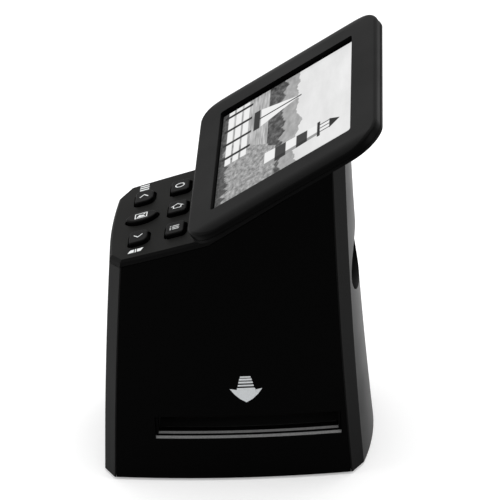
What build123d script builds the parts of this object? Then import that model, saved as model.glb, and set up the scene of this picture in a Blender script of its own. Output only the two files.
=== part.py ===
# Film negative scanner: a tapered desk-top tower with a film tray channel right through it,
# a sloping six-key control panel, and a tilting 3.5 inch screen that overhangs the tower.
#
# The user sits at -Y and looks along +Y; +X is the user's right and +Z is up. The casing is
# modelled with its lower edge at z = 0 and its plan centred near y = 0; put() then moves every
# piece so that the origin is the middle of the whole object's footprint, on the desk.
import os
from math import cos, radians, sin, tan

from build123d import *

# ---------------------------------------------------------------- driving sizes, mm and degrees
# Casing: plan at the desk, and how the walls lean in as they rise.
casing_side_x = 31.8        # half width between the ends of the two bowed side walls, at the desk
casing_before_channel = 16.6  # from the channel's side to the front ends of the side walls
casing_behind_channel = 4.3   # and to their back ends
corner_cut_x = 5.9          # the flat across each corner, measured across
corner_cut_y = 3.9          # the same, measured front to back
side_lean = 3.4             # degrees
front_lean = 0.068          # mm in for each mm up, at the desk
front_curl = 0.0003         # and how fast that grows
back_lean = 0.05
back_curl = 0.00025
side_bow_desk = 2.3         # how far a side wall bulges past its ends
side_bow_top = 1.5
front_bow_desk = 1.2        # the same for the front wall
front_bow_top = 1.0
back_bow_desk = 3.3         # and for the back wall
back_bow_top = 1.3
casing_top_z = 124.0        # the height at which the upper widths and bows are given
casing_over_bed = 3.3       # how far past the bed the wall surfaces go before the cover cuts them
wall = 2.0                  # wall of every casing moulding
seam = 0.2                  # gap left between casing mouldings
crease_gap = 0.1            # their gap to the side panels
crease_lip = 0.5            # how far the front and back shells wrap on to a side wall

# Top cover: the control panel slopes gently, and the screen bed more steeply.
panel_front_z = 83.6        # top of the panel at its front
panel_front_in = 0.22       # how far inside the side walls' front ends that height is taken
panel_slope = 14.8
panel_run = 29.35           # from the panel's front to where it meets the bed, measured level
bed_slope = 31.0
cover_wall = 2.2
cover_edge_bevel = 0.8
skirt_depth = 2.4
skirt_wall = 1.2
skirt_gap = 0.15

# Film tray channel, right through from side to side.
channel_y = 5.8             # middle of the channel and of the lens
channel_width = 62.4
channel_height = 6.0
channel_floor_z = 17.8
guide_wall = 1.8
guide_plate = 2.4
guide_ear_radius = 2.4
guide_ear_reach = 2.3       # screw line beyond the guide's side walls
guide_screw_x = 7.0
guide_screw_length = 17.0
slot_rim_side = 1.0         # how much larger the slot in a side panel is than the channel
slot_rim_below = 1.3
slot_bevel = 0.7            # on the lower outer edge of the slot
trim_bevel = 0.6            # on the lower edge of the trim's mouth
slot_rim_above = 0.4
trim_setback = 0.9
trim_depth = 3.2
trim_gap = 0.15
trim_flange = 1.6
trim_flange_thickness = 1.2

# Backlight and optics, on the channel's middle.
light_window_x = 28.0
light_window_y = 40.0
light_box_wall = 1.2
light_box_height = 8.6
diffuser_thickness = 1.8
board_thickness = 1.6
led_board_lift = 1.0
led_post_radius = 1.6
led_post_x = 11.0
led_post_y = 16.0
led_size = 3.0
led_height = 0.8
led_pitch = 9.0
led_columns = 3
led_rows = 4
gate_x = 26.0
gate_y = 38.0
shroud_wall = 1.2
shroud_top_size = 17.0
shroud_top_z = 45.0
barrel_radius = 7.5
barrel_bore = 5.6
barrel_length = 15.0
lens_thickness = 3.0
lens_bulge = 0.9
lens_fit = 0.02
lens_inset = 3.0            # each glass's middle, in from its end of the barrel
lens_plate_drop = 6.0       # lens plate top below the barrel's top
lens_plate = 2.4
post_size = 4.5
post_x = 17.0
post_y = 19.0
main_board_z = 67.6
main_board_x = 22.5
main_board_front_y = -14.0
main_board_back_y = 34.0
tongue_x = 16.0
sensor_size_x = 12.0
sensor_size_y = 9.0
sensor_height = 1.6
chip_x = 9.5
chip_y = -4.0
chip_height = 1.2
processor_size = 11.0
memory_size_x = 9.0
memory_size_y = 12.0
coil_y = 9.0
coil_size = 7.0
coil_height = 2.4
regulator_size = 6.0

# Connector recess in the back shell.
recess_width = 38.5
recess_height = 21.0
recess_rise = 1.7           # of its middle over the main board's
recess_depth = 2.5
recess_wall = 1.8
port_gap = 0.2
card_width = 26.0
card_height = 3.0
card_depth = 20.0
card_mouth_width = 24.4
card_mouth_height = 2.3
usb_width = 9.0
usb_height = 3.2
usb_depth = 7.5
usb_x = -8.0
hdmi_width = 11.2
hdmi_height = 3.4
hdmi_depth = 8.5
hdmi_x = 7.0
socket_metal = 0.35
socket_reach = 0.3          # how far a socket's mouth stands out of the recess floor

# Keys. "up" is up the panel's slope, away from the user.
key_rise = 1.4
key_gap = 0.8
key_flange = 1.6
key_flange_thickness = 1.0
key_travel = 0.6
key_size_x = 8.2
key_size_up = 6.6
key_radius = 1.3
near_key_outer_radius = 2.6  # the two arrow keys are rounder on their upper side
scan_key_x = 7.0            # the middle key is lens-shaped, with rounded points
scan_key_points = 11.9      # between its points before they are rounded
scan_key_radius = 1.8
near_row_up = 5.7
far_row_up = 18.9
near_row_pitch = 14.6
far_row_pitch = 15.4
key_crown = 0.5
switch_size = 4.6
switch_height = 2.2
plunger_radius = 1.2
plunger_length = 1.2
plunger_gap = 0.1
keypad_board_x = 23.0
keypad_board_up = 24.5
keypad_board_start = -0.5
keypad_board_thickness = 1.2
keypad_post_radius = 1.3
keypad_post_x = 21.8
keypad_post_up = (2.2, 12.3)

# Screen housing. Its front is n = 0, its low edge u = 0; it lies over the bed at rest.
screen_beside_lcd = 12.15   # from the LCD module's side to the case's side
screen_beyond_lcd = 4.6     # from its far edge to the case's high edge
screen_corner = 12.0
screen_depth = 11.0
screen_over_bed = 1.0
screen_setback = 1.2
bezel_depth = 3.0
bezel_edge_round = 1.2
bezel_wall = 2.0
bezel_face = 1.5
bezel_crown_in = 6.3        # the front is flat up to this far from its sides, then falls away
bezel_crown_radius = 18.0
window_width = 73.0
window_length = 55.0
window_low = 9.3
window_corner = 1.2
rear_rim = 1.0
rear_rim_proud = 0.15
rear_flat_corner = 8.0
rear_taper_side = 18.6      # the flat back starts this far in from the case's sides
rear_taper_low = 5.0
rear_taper_high = 5.2
rear_wall = 1.8
lcd_width = 76.9
lcd_length = 62.0
lcd_low = 7.6               # the module's low edge; its window is not in its middle
lcd_glass = 1.2
lcd_back = 2.6
lcd_gap = 0.2
screen_screw_in = 8.3       # in from the case's sides
screen_screw_low = 11.0
screen_screw_down = 14.0    # down from its high edge
screen_boss_radius = 2.7
screen_boss_depth = 3.5     # how far below the front the screw bosses reach
screen_screw_seat = 1.1
screen_screw_length = 3.8
screen_board_x = 26.0
screen_board_up = 24.0
screen_board_length = 34.0

# Hinge along the screen's low edge.
hinge_u = 6.5
hinge_n = -8.6
hinge_radius = 2.8
pin_radius = 1.25
pin_fit = 0.05
ear_fit = 0.02
ear_inner_x = 12.0
ear_thickness = 2.4
knuckle_length = 5.8
washer_thickness = 0.4
washer_gap = 0.05
ear_clear = 0.5
ear_swing = 1.0             # how far above the pin the case is cut to clear the ears' stems
hinge_opening = 45.0        # degrees that the screen tilts up
ribbon_width = 12.0
ribbon_thickness = 0.3
ribbon_roll_radius = 1.2
ribbon_bend = 3.0           # how far below the bed the cable turns straight down

# Base, feet and screws.
foot_radius = 5.0
foot_height = 1.0
foot_recess = 0.8
foot_x = 20.0
foot_in = 8.6               # in from the ends of the side walls, at the desk
base_plate = 2.2
base_lift = 0.3
boss_radius = 3.2
boss_x = 17.0
boss_inset = 3.4
boss_top_z = 14.5
front_rib_x = 12.0          # three upright ribs stiffen the front wall inside
front_rib_half = 0.6
front_rib_reach = 1.6
front_rib_low = 4.0
front_rib_high = 70.0
boss_rib_reach = 8.0
boss_rib_half = 1.0
screw_radius = 1.1
screw_gap = 0.05
screw_head_radius = 2.3
screw_head = 1.4
screw_length = 8.0
small_screw_radius = 0.8
small_screw_head_radius = 1.5
small_screw_head = 1.0
small_screw_length = 5.0
pad_radius = 2.6
pad_height = 0.9
pad_x = 17.0
pad_up = 46.0

far = 200.0                 # larger than the object, for cutting tools
skin = 0.05                 # clearance where two pieces only touch


# ---------------------------------------------------------------- casing surfaces
channel_half = channel_width / 2
casing_front_y = channel_y - channel_half - casing_before_channel
casing_back_y = channel_y + channel_half + casing_behind_channel


def side_x(z, inset=0.0):
    return casing_side_x - z * tan(radians(side_lean)) - inset


def front_y(z, inset=0.0):
    return casing_front_y + front_lean * z + front_curl * z * z + inset


def back_y(z, inset=0.0):
    return casing_back_y - back_lean * z + back_curl * z * z - inset


def between(low, high, z):
    return low + (high - low) * z / casing_top_z


def casing_section(z, inset):
    """Plan outline of the casing at a height: four bowed walls and four flat corners."""
    x, yf, yb = side_x(z, inset), front_y(z, inset), back_y(z, inset)
    side = x + between(side_bow_desk, side_bow_top, z)
    front = between(front_bow_desk, front_bow_top, z)
    back = between(back_bow_desk, back_bow_top, z)
    xc, yfc, ybc = x - corner_cut_x, yf - corner_cut_y, yb + corner_cut_y
    mid = (yf + yb) / 2
    edges = [
        ThreePointArc((x, yf), (side, mid), (x, yb)),
        Line((x, yb), (xc, ybc)),
        ThreePointArc((xc, ybc), (0, ybc + back), (-xc, ybc)),
        Line((-xc, ybc), (-x, yb)),
        ThreePointArc((-x, yb), (-side, mid), (-x, yf)),
        Line((-x, yf), (-xc, yfc)),
        ThreePointArc((-xc, yfc), (0, yfc - front), (xc, yfc)),
        Line((xc, yfc), (x, yf)),
    ]
    return Pos(0, 0, z) * make_face(edges)


panel_front_y = front_y(panel_front_z) + panel_front_in
bed_break_y = panel_front_y + panel_run


def yz_prism(points):
    """Prism along X on an outline in the YZ plane."""
    face = make_face(Polyline(*points, close=True))
    return extrude(Plane.YZ * face, amount=far / 2, both=True)


def panel_z(y, drop=0.0):
    rise = tan(radians(panel_slope)) * (y - panel_front_y)
    return panel_front_z + rise - drop / cos(radians(panel_slope))


bed_break_z = panel_z(bed_break_y)


def bed_z(y, drop=0.0):
    rise = tan(radians(bed_slope)) * (y - bed_break_y)
    return bed_break_z + rise - drop / cos(radians(bed_slope))


def above_top(drop=0.0):
    """Everything above the top cover's surface, lowered by drop."""
    slope_gap = tan(radians(bed_slope)) - tan(radians(panel_slope))
    y = bed_break_y + (bed_z(bed_break_y) - bed_z(bed_break_y, drop)
                       - panel_z(bed_break_y) + panel_z(bed_break_y, drop)) / slope_gap
    return yz_prism([(-far, panel_z(-far, drop)), (y, panel_z(y, drop)), (far, bed_z(far, drop)),
                     (far, 2 * far), (-far, 2 * far)])


bed_rear_y = back_y(casing_top_z) + corner_cut_y + back_bow_top
casing_high = bed_z(bed_rear_y) + casing_over_bed


def casing(inset=0.0, low=0.0, high=casing_high):
    """Solid inside the casing's outer surface, drawn in by inset."""
    return loft([casing_section(z, inset) for z in (low, (low + high) / 2, high)])


def beyond_crease(y_at, side, shift):
    """Everything in front of (side -1) or behind (side +1) a casing corner's crease."""
    z0, z1 = -20.0, 160.0
    line = [(y_at(z) - side * shift, z) for z in (z0, (z0 + z1) / 2, z1)]
    edges = [
        ThreePointArc(*line),
        Polyline(line[2], (side * far, z1), (side * far, z0), line[0]),
    ]
    return extrude(Plane.YZ * make_face(edges), amount=far / 2, both=True)


# ---------------------------------------------------------------- local frames
screen_width = lcd_width + 2 * screen_beside_lcd
screen_length = lcd_low + lcd_length + screen_beyond_lcd
screen_screw_x = screen_width / 2 - screen_screw_in
screen_screw_high = screen_length - screen_screw_down
bezel_crown_start = screen_width / 2 - bezel_crown_in
panel_frame = Plane(
    origin=(0, panel_front_y, panel_front_z),
    x_dir=(1, 0, 0),
    z_dir=(0, -sin(radians(panel_slope)), cos(radians(panel_slope))),
)
bed_up = (cos(radians(bed_slope)), sin(radians(bed_slope)))
bed_out = (-sin(radians(bed_slope)), cos(radians(bed_slope)))
screen_lift = screen_depth + screen_over_bed
screen_frame = Plane(
    origin=(
        0,
        bed_break_y + screen_setback * bed_up[0] + screen_lift * bed_out[0],
        bed_break_z + screen_setback * bed_up[1] + screen_lift * bed_out[1],
    ),
    x_dir=(1, 0, 0),
    z_dir=(0, bed_out[0], bed_out[1]),
)
on_panel = panel_frame.location
on_screen = screen_frame.location

# The object's footprint runs from the front wall's bulge to the screen's high edge.
front_reach = casing_front_y - corner_cut_y - front_bow_desk
screen_far_edge = (0, screen_length + rear_rim_proud, -bezel_depth - rear_rim)
rear_reach = screen_frame.from_local_coords(screen_far_edge).Y
footprint_y = (front_reach + rear_reach) / 2


# ---------------------------------------------------------------- small shapes
def block(x0, x1, y0, y1, z0, z1):
    return Pos((x0 + x1) / 2, (y0 + y1) / 2, (z0 + z1) / 2) * Box(x1 - x0, y1 - y0, z1 - z0)


def rod(radius, z0, z1, x=0.0, y=0.0):
    return Pos(x, y, (z0 + z1) / 2) * Cylinder(radius, z1 - z0)


def cross_rod(radius, x0, x1, y, z):
    """Cylinder along X."""
    return Pos((x0 + x1) / 2, y, z) * Rot(0, 90, 0) * Cylinder(radius, x1 - x0)


def screw(x, y, z, up=1, length=screw_length, radius=screw_radius,
          head_radius=screw_head_radius, head=screw_head):
    """Cross-head screw whose head's top is at z; its shank runs along +Z (up=1) or -Z."""
    arm = head_radius * 0.62
    slot = head_radius * 0.12
    cross = block(-arm, arm, -slot, slot, -1, head * 0.57)
    cross += block(-slot, slot, -arm, arm, -1, head * 0.57)
    one = rod(head_radius, 0, head) + rod(radius, head, length) - cross
    return Pos(x, y, z) * (one if up > 0 else Rot(180, 0, 0) * one)


def small_screw(x, y, z, up=1):
    return screw(x, y, z, up, small_screw_length, small_screw_radius - 0.02,
                 small_screw_head_radius, small_screw_head)


def rounded_plate(width, length, radius, z0, z1):
    return Pos(0, 0, z0) * extrude(RectangleRounded(width, length, radius), amount=z1 - z0)


# ---------------------------------------------------------------- casing mouldings
outer = casing()
inner = casing(wall, -1.0, casing_high + 1.0)
walls = outer - inner - above_top(cover_wall + seam)
front_zone = beyond_crease(front_y, -1, crease_lip)
back_zone = beyond_crease(back_y, 1, crease_lip)
panel_front_zone = beyond_crease(front_y, -1, crease_lip + crease_gap)
panel_back_zone = beyond_crease(back_y, 1, crease_lip + crease_gap)

base_floor_z = base_lift + base_plate
boss_front_y = front_y(0) - corner_cut_y + wall + boss_inset
boss_back_y = back_y(0) + corner_cut_y - wall - boss_inset
boss_points = [(sx * boss_x, y) for sx in (-1, 1) for y in (boss_front_y, boss_back_y)]
screw_hole = screw_radius + screw_gap


def base_boss(x, y):
    """Screw boss inside an end wall, joined to it by a rib."""
    reach = boss_rib_reach if y > 0 else -boss_rib_reach
    rib = block(x - boss_rib_half, x + boss_rib_half, min(y, y + reach), max(y, y + reach),
                base_floor_z + seam, boss_top_z)
    boss = rod(boss_radius, base_floor_z + seam, boss_top_z, x, y) + rib
    return (boss & outer) - rod(screw_hole, 0, base_lift + screw_length + 1, x, y)


def front_shell():
    shell = walls & front_zone
    stiffened = casing(wall / 2) - casing(wall + front_rib_reach)
    for x in (-front_rib_x, 0, front_rib_x):
        shell += stiffened & block(x - front_rib_half, x + front_rib_half, -far, 0,
                                   front_rib_low, front_rib_high)
    for x, y in boss_points:
        if y < 0:
            shell += base_boss(x, y)
    return shell


recess_z = main_board_z + board_thickness / 2 + recess_rise
recess_face_y = back_y(recess_z) + corner_cut_y + between(back_bow_desk, back_bow_top, recess_z)
recess_floor_y = recess_face_y - recess_depth
recess_inner_y = recess_floor_y - recess_wall


def oval_prism(width, height, y0, y1):
    """Elliptical prism along Y, centred on the connector recess."""
    sketch = Ellipse(width / 2, height / 2)
    tool = extrude(sketch, amount=y1 - y0)
    return Pos(0, y1, recess_z) * Rot(90, 0, 0) * tool


def port(x, z, width, height, y0=0.0, y1=far):
    return block(x - width / 2, x + width / 2, y0, y1, z - height / 2, z + height / 2)


card_z = main_board_z + board_thickness + card_height / 2
usb_z = main_board_z - usb_height / 2
hdmi_z = main_board_z - hdmi_height / 2


def back_shell():
    shell = walls & back_zone
    tub = oval_prism(recess_width + 2 * recess_wall, recess_height + 2 * recess_wall,
                     recess_inner_y, recess_face_y + 1) & outer
    shell = shell + tub - oval_prism(recess_width, recess_height, recess_floor_y, far)
    for x, z, width, height in (
        (0, card_z, card_width, card_height),
        (usb_x, usb_z, usb_width, usb_height),
        (hdmi_x, hdmi_z, hdmi_width, hdmi_height),
    ):
        shell -= port(x, z, width + 2 * port_gap, height + 2 * port_gap, recess_inner_y - 1)
    for x, y in boss_points:
        if y > 0:
            shell += base_boss(x, y)
    return shell


slot_low = channel_floor_z - slot_rim_below
slot_high = channel_floor_z + channel_height + slot_rim_above
slot_half = channel_width / 2 + slot_rim_side


def bevelled_sill(piece, z, size):
    """The piece with the outermost of its long edges at height z bevelled."""
    level = [e for e in piece.edges() if abs(e.bounding_box().min.Z - z) < 0.01
             and e.bounding_box().size.Z < 0.01 and e.length > channel_width - 1]
    return chamfer(max(level, key=lambda e: abs(e.center().X)), size)


def side_panel(side):
    """The dark side wall with the film slot; side is +1 for the user's right."""
    half = block(0, far, -far, far, -far, far) if side > 0 else block(-far, 0, -far, far, -far, far)
    panel = (walls & half) - panel_front_zone - panel_back_zone
    slot = block(-far, far, channel_y - slot_half, channel_y + slot_half, slot_low, slot_high)
    return bevelled_sill(panel - slot, slot_low, slot_bevel)


def slot_trim(side):
    """Frame round the mouth of the channel, set back in the side panel's slot."""
    body = casing(trim_setback) - casing(trim_setback + trim_depth)
    half = block(0, far, -far, far, -far, far) if side > 0 else block(-far, 0, -far, far, -far, far)
    ring = block(-far, far, channel_y - slot_half + trim_gap, channel_y + slot_half - trim_gap,
                 slot_low + trim_gap, slot_high - trim_gap)
    flange = block(-far, far, channel_y - slot_half - trim_flange, channel_y + slot_half,
                   slot_low - trim_flange, slot_high + trim_flange)
    flange &= casing(wall + skin) - casing(wall + skin + trim_flange_thickness)
    mouth = block(-far, far, channel_y - channel_width / 2, channel_y + channel_width / 2,
                  channel_floor_z, channel_floor_z + channel_height)
    trim = ((body & ring) + flange - mouth) & half
    return bevelled_sill(trim, channel_floor_z, trim_bevel)


# ---------------------------------------------------------------- top cover
ear_gap = washer_thickness + 2 * washer_gap
knuckle_x = ear_inner_x + ear_thickness + ear_gap
ear_outer_x = knuckle_x + knuckle_length + ear_gap
ear_spans = [(ear_inner_x, ear_inner_x + ear_thickness), (ear_outer_x, ear_outer_x + ear_thickness)]
bed_n = -screen_lift
plate_under = -cover_wall
flange_top = plate_under - skin
flange_under = flange_top - key_flange_thickness
switch_top = flange_under - key_travel - plunger_gap
keypad_stack = -switch_top + switch_height


def key_outline(row, column):
    """(x, up, sketch) of a key; row is near or far, column -1, 0 or 1 from the user's left."""
    if row == "near" and column == 0:
        x, up = scan_key_x / 2, scan_key_points / 2
        lens = make_face([ThreePointArc((0, -up), (x, 0), (0, up)),
                          ThreePointArc((0, up), (-x, 0), (0, -up))])
        return 0.0, near_row_up, fillet(lens.vertices(), scan_key_radius)
    pitch = near_row_pitch if row == "near" else far_row_pitch
    up = near_row_up if row == "near" else far_row_up
    if row == "far":
        return column * pitch, up, RectangleRounded(key_size_x, key_size_up, key_radius)
    corners = Rectangle(key_size_x, key_size_up).vertices()
    sketch = fillet(corners.sort_by(Axis.Y)[2:], near_key_outer_radius)
    lower = [v for v in sketch.vertices() if v.Y < -key_size_up / 2 + 0.01]
    sketch = fillet(lower, key_radius)
    return column * pitch, up, sketch


keys = {
    "left_key": ("near", -1),
    "scan_key": ("near", 0),
    "right_key": ("near", 1),
    "mode_key": ("far", -1),
    "home_key": ("far", 0),
    "menu_key": ("far", 1),
}


def key_prism(row, column, grow, n0, n1):
    x, up, sketch = key_outline(row, column)
    if grow:
        sketch = offset(sketch, amount=grow)
    return Pos(x, up, n0) * extrude(sketch, amount=n1 - n0)


def top_cover():
    cover = (outer & above_top(cover_wall)) - above_top(0)
    tops = [f for f in cover.faces() if f.geom_type == GeomType.PLANE
            and f.normal_at().Z > cos(radians(bed_slope)) - 0.01]
    rim = [e for f in tops for e in f.edges() if abs(e.center().Y - bed_break_y) > 0.01]
    cover = chamfer(rim, cover_edge_bevel)
    skirt = casing(wall + skirt_gap) - casing(wall + skirt_gap + skirt_wall)
    skirt = (skirt & above_top(cover_wall + skirt_depth)) - above_top(cover_wall - 0.1)
    cover += skirt
    for row, column in keys.values():
        cover -= on_panel * key_prism(row, column, key_gap, -cover_wall - 1, 1)
    for sx in (-1, 1):
        for up in keypad_post_up:
            x = sx * keypad_post_x
            post = rod(keypad_post_radius, -keypad_stack, -cover_wall + 0.1, x, up)
            cover += on_panel * post
            pilot = rod(small_screw_radius, -far, small_screw_length - keypad_stack - 1, x, up)
            cover -= on_panel * pilot
        for x0, x1 in ear_spans:
            stem = block(x0, x1, hinge_u - 2.6, hinge_u + 2.6, bed_n - 1, hinge_n)
            ear = stem + cross_rod(hinge_radius, x0, x1, hinge_u, hinge_n)
            ear -= cross_rod(pin_radius + ear_fit, x0 - 1, x1 + 1, hinge_u, hinge_n)
            if sx < 0:
                ear = mirror(ear, Plane.YZ)
            cover += on_screen * ear
    ribbon_hole = block(-ribbon_width / 2 - 1, ribbon_width / 2 + 1, hinge_u - 1.2, hinge_u + 1.2,
                        bed_n - cover_wall - 4, bed_n + 1)
    return cover - on_screen * ribbon_hole


# ---------------------------------------------------------------- keys and keypad
def key_cap(row, column):
    """Cap, the flange that keeps it under the panel, and its plunger, in one moulding."""
    cap = key_prism(row, column, 0, flange_under, key_rise)
    cap = fillet(cap.faces().sort_by(Axis.Z)[-1].edges(), key_crown)
    cap += key_prism(row, column, key_flange, flange_under, flange_top)
    x, up, _ = key_outline(row, column)
    return cap + rod(plunger_radius, flange_under - plunger_length, flange_under + 0.1, x, up)


def tact_switches():
    bodies = []
    for row, column in keys.values():
        x, up, _ = key_outline(row, column)
        body = rounded_plate(switch_size, switch_size, 0.5, switch_top - switch_height, switch_top)
        well = rod(plunger_radius + plunger_gap, switch_top - plunger_length, switch_top + 1)
        bodies.append(on_panel * Pos(x, up, 0) * (body - well))
    return Compound(bodies)


def keypad_board():
    board = block(-keypad_board_x, keypad_board_x, keypad_board_start,
                  keypad_board_start + keypad_board_up,
                  -keypad_stack - keypad_board_thickness, -keypad_stack)
    for sx in (-1, 1):
        for up in keypad_post_up:
            board -= rod(small_screw_radius + screw_gap, -far, 1, sx * keypad_post_x, up)
    return on_panel * board


def keypad_screws():
    z = -keypad_stack - keypad_board_thickness - small_screw_head
    screws = []
    for sx in (-1, 1):
        for up in keypad_post_up:
            screws.append(on_panel * small_screw(sx * keypad_post_x, up, z))
    return Compound(screws)


# ---------------------------------------------------------------- base
def base_cover():
    plate = casing(wall + seam) & block(-far, far, -far, far, base_lift, base_floor_z)
    for x, y in boss_points:
        plate -= rod(screw_hole, -1, far, x, y)
        plate -= rod(screw_head_radius + 0.2, -1, base_lift + screw_head + 0.05, x, y)
    for x, y in foot_points:
        plate -= rod(foot_radius + skin, -1, base_lift + foot_recess, x, y)
    for x, y in guide_screw_points:
        plate += rod(guide_ear_radius, base_floor_z - 0.1, guide_floor_z, x, y)
        plate -= rod(screw_hole, gate_top_z + screw_head - guide_screw_length - 1, far, x, y)
    for sx in (-1, 1):
        for sy in (-1, 1):
            plate += rod(led_post_radius, base_floor_z - 0.1, led_board_z, sx * led_post_x,
                         channel_y + sy * led_post_y)
    return plate


foot_points = [(sx * foot_x, y) for sx in (-1, 1)
               for y in (casing_front_y + foot_in, casing_back_y - foot_in)]
guide_floor_z = channel_floor_z - guide_plate
led_board_z = base_floor_z + led_board_lift


def rubber_feet():
    foot = rod(foot_radius, -foot_height, base_lift + foot_recess)
    foot = chamfer(foot.faces().sort_by(Axis.Z)[0].edges(), 0.3)
    return Compound([Pos(x, y, 0) * foot for x, y in foot_points])


def base_screws():
    z = base_lift + 0.05
    return Compound([screw(x, y, z) for x, y in boss_points])


# ---------------------------------------------------------------- film channel and light
gate_top_z = channel_floor_z + channel_height + guide_plate
barrel_top_z = shroud_top_z + barrel_length
lens_plate_z = barrel_top_z - lens_plate_drop
board_screw_points = [(sx * post_x, channel_y + sy * post_y) for sx in (-1, 1) for sy in (-1, 1)]
guide_half_y = channel_half + guide_wall
channel_ceiling_z = channel_floor_z + channel_height
guide_screw_points = [(sx * guide_screw_x, channel_y + sy * (guide_half_y + guide_ear_reach))
                      for sx in (-1, 1) for sy in (-1, 1)]


def guide_outline(low, high):
    """Block over the channel whose ends follow the inside of the slot trims."""
    plate = block(-far, far, channel_y - guide_half_y, channel_y + guide_half_y, low, high)
    return plate & casing(trim_setback + trim_depth + seam)


def guide_ears(low, high):
    """Screw ears just outside the channel, each joined to the guide by a short rib."""
    ears = []
    for x, y in guide_screw_points:
        side = 1 if y > channel_y else -1
        root = channel_y + side * (guide_half_y - 0.4)
        rib = block(x - guide_ear_radius, x + guide_ear_radius, min(y, root), max(y, root),
                    low, high)
        ears.append(rod(guide_ear_radius, low, high, x, y) + rib)
    return ears


def film_guide_lower():
    plate = guide_outline(guide_floor_z, channel_ceiling_z)
    plate += guide_ears(guide_floor_z, channel_ceiling_z)
    plate -= block(-far, far, channel_y - channel_half, channel_y + channel_half,
                   channel_floor_z, far)
    for x, y in guide_screw_points:
        plate -= rod(screw_hole, 0, far, x, y)
    return plate - block(-light_window_x / 2, light_window_x / 2, channel_y - light_window_y / 2,
                         channel_y + light_window_y / 2, -far, far)


def optics_tower():
    """Upper film guide with four posts for the lens plate and the main board, one moulding."""
    tower = guide_outline(channel_ceiling_z, gate_top_z)
    tower += guide_ears(channel_ceiling_z, gate_top_z)
    h = post_size / 2
    for sx in (-1, 1):
        for sy in (-1, 1):
            x, y = sx * post_x, channel_y + sy * post_y
            tower += block(x - h, x + h, y - h, y + h, gate_top_z - 0.1, main_board_z)
    tower += block(-post_x - h, post_x + h, channel_y - post_y - h, channel_y + post_y + h,
                   lens_plate_z - lens_plate, lens_plate_z)
    tower -= rod(barrel_radius + ear_fit, gate_top_z, far, 0, channel_y)
    tower -= block(-gate_x / 2, gate_x / 2, channel_y - gate_y / 2, channel_y + gate_y / 2,
                   -far, gate_top_z + 1)
    for x, y in guide_screw_points:
        tower -= rod(screw_hole, 0, far, x, y)
    for x, y in board_screw_points:
        tower -= rod(small_screw_radius, main_board_z - small_screw_length, far, x, y)
    return tower


def guide_screws():
    z = gate_top_z + screw_head
    return Compound([screw(x, y, z, -1, guide_screw_length) for x, y in guide_screw_points])


def board_screws():
    z = main_board_z + board_thickness + small_screw_head
    return Compound([small_screw(x, y, z, -1) for x, y in board_screw_points])


box_x = light_window_x / 2 + 2.0
box_y = light_window_y / 2 + 2.0


def light_box():
    low = led_board_z + board_thickness
    high = low + light_box_height
    tube = block(-box_x, box_x, channel_y - box_y, channel_y + box_y, low, high)
    t = light_box_wall
    return tube - block(-box_x + t, box_x - t, channel_y - box_y + t, channel_y + box_y - t, 0, far)


def light_diffuser():
    low = led_board_z + board_thickness + light_box_height
    return block(-box_x, box_x, channel_y - box_y, channel_y + box_y, low, guide_floor_z)


def led_board():
    return block(-box_x, box_x, channel_y - box_y, channel_y + box_y, led_board_z,
                 led_board_z + board_thickness)


def backlight_leds():
    low = led_board_z + board_thickness
    leds = []
    for i in range(led_columns):
        for j in range(led_rows):
            x = (i - (led_columns - 1) / 2) * led_pitch
            y = channel_y + (j - (led_rows - 1) / 2) * led_pitch
            leds.append(Pos(x, y, low + led_height / 2) * Box(led_size, led_size, led_height))
    return Compound(leds)


def lens_shroud():
    """Black baffle between the film gate and the lens."""
    def pyramid(grow):
        low = Pos(0, channel_y, gate_top_z) * Rectangle(gate_x + 3 + grow, gate_y + 3 + grow)
        high = Pos(0, channel_y, shroud_top_z) * Rectangle(shroud_top_size + grow,
                                                            shroud_top_size + grow)
        return loft([low, high], ruled=True)
    return pyramid(0) - pyramid(-2 * shroud_wall) - rod(barrel_bore, 0, far, 0, channel_y)


def lens_barrel():
    barrel = rod(barrel_radius, shroud_top_z, barrel_top_z, 0, channel_y)
    return barrel - rod(barrel_bore, 0, far, 0, channel_y)


def lens_element(z):
    """Biconvex glass, a hair smaller than the barrel's bore."""
    radius = barrel_bore - lens_fit
    ball = (radius ** 2 + lens_bulge ** 2) / (2 * lens_bulge)
    offset_z = ball - lens_thickness / 2
    glass = Cylinder(radius, lens_thickness)
    glass = glass & Pos(0, 0, -offset_z) * Sphere(ball) & Pos(0, 0, offset_z) * Sphere(ball)
    return Pos(0, channel_y, z) * glass


# ---------------------------------------------------------------- boards and sockets
def main_board():
    board = block(-main_board_x, main_board_x, main_board_front_y, main_board_back_y,
                  main_board_z, main_board_z + board_thickness)
    tongue = block(-tongue_x, tongue_x, main_board_back_y - 1, recess_inner_y - 0.3,
                   main_board_z, main_board_z + board_thickness)
    board += tongue
    for x, y in board_screw_points:
        board -= rod(small_screw_radius + screw_gap, 0, far, x, y)
    return board


def image_sensor():
    half_x, half_y = sensor_size_x / 2, sensor_size_y / 2
    return block(-half_x, half_x, channel_y - half_y, channel_y + half_y,
                 main_board_z - sensor_height, main_board_z)


def board_chips():
    """Processor, memory, a power coil and a regulator."""
    top = main_board_z + board_thickness

    def chip(x, y, length, width, height):
        return Pos(x, y, top + height / 2) * Box(length, width, height)

    return Compound([
        chip(-chip_x, chip_y, processor_size, processor_size, chip_height),
        chip(chip_x, chip_y, memory_size_x, memory_size_y, chip_height),
        chip(-chip_x, coil_y, coil_size, coil_size, coil_height),
        chip(chip_x, coil_y, regulator_size, regulator_size, chip_height),
    ])


socket_face_y = recess_floor_y + socket_reach


def socket(x, z, width, height, depth, tongue_thickness, tongue_z):
    """Pressed-metal socket shell with its contact tongue, mouth at the recess floor."""
    y1 = socket_face_y
    y0 = y1 - depth
    m = socket_metal
    shell = port(x, z, width, height, y0, y1)
    shell -= port(x, z, width - 2 * m, height - 2 * m, y0 + 1, far)
    return shell + port(x, z + tongue_z, width * 0.62, tongue_thickness, y0 + 0.5, y1 - 1)


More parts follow.
